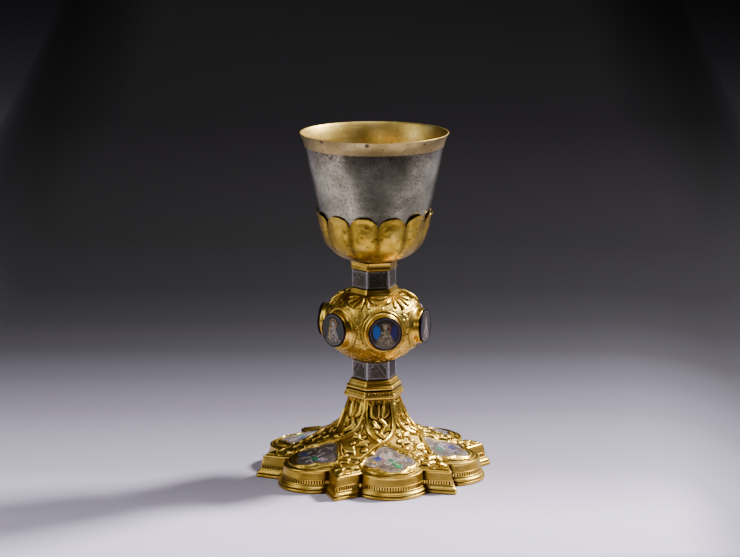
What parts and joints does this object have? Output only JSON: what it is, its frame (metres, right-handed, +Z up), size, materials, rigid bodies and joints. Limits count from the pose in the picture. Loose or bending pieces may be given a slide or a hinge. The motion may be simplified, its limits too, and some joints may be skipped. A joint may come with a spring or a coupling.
{
  "type": "chalice",
  "caption": "Gothic silver-gilt chalice with a petalled calyx, an enamelled knop and stem, and a lobed foot with six enamels.",
  "frame": {"origin": "middle of the foot, on the plane it stands on", "axes": "+Z up along the chalice's axis; -Y through the middle of a foot lobe"},
  "size_m": [0.1474, 0.14, 0.21],
  "materials": {
    "gilt": "polished",
    "silver": "satin",
    "stem_silver": "satin",
    "dark_enamel": "gloss",
    "blue_enamel": "gloss",
    "grey_enamel": "gloss"
  },
  "bodies": {
    "root": {"bowl": "silver", "calyx": "gilt", "calyx_collar": "gilt", "upper_stem": "stem_silver", "knop_collar": "gilt", "knop": "gilt", "lower_stem": "stem_silver", "foot_collar": "gilt", "foot": "gilt", "knop_medallion_1": "blue_enamel", "knop_medallion_2": "blue_enamel", "knop_medallion_3": "blue_enamel", "knop_medallion_4": "blue_enamel", "knop_medallion_5": "blue_enamel", "knop_medallion_6": "blue_enamel", "lower_stem_panel_1": "dark_enamel", "lower_stem_panel_2": "dark_enamel", "lower_stem_panel_3": "dark_enamel", "lower_stem_panel_4": "dark_enamel", "lower_stem_panel_5": "dark_enamel", "lower_stem_panel_6": "dark_enamel", "upper_stem_panel_1": "dark_enamel", "upper_stem_panel_2": "dark_enamel", "upper_stem_panel_3": "dark_enamel", "upper_stem_panel_4": "dark_enamel", "upper_stem_panel_5": "dark_enamel", "upper_stem_panel_6": "dark_enamel", "foot_plaque_1": "grey_enamel", "foot_plaque_2": "grey_enamel", "foot_plaque_3": "grey_enamel", "foot_plaque_4": "grey_enamel", "foot_plaque_5": "grey_enamel", "foot_plaque_6": "grey_enamel"}
  },
  "joints": []
}
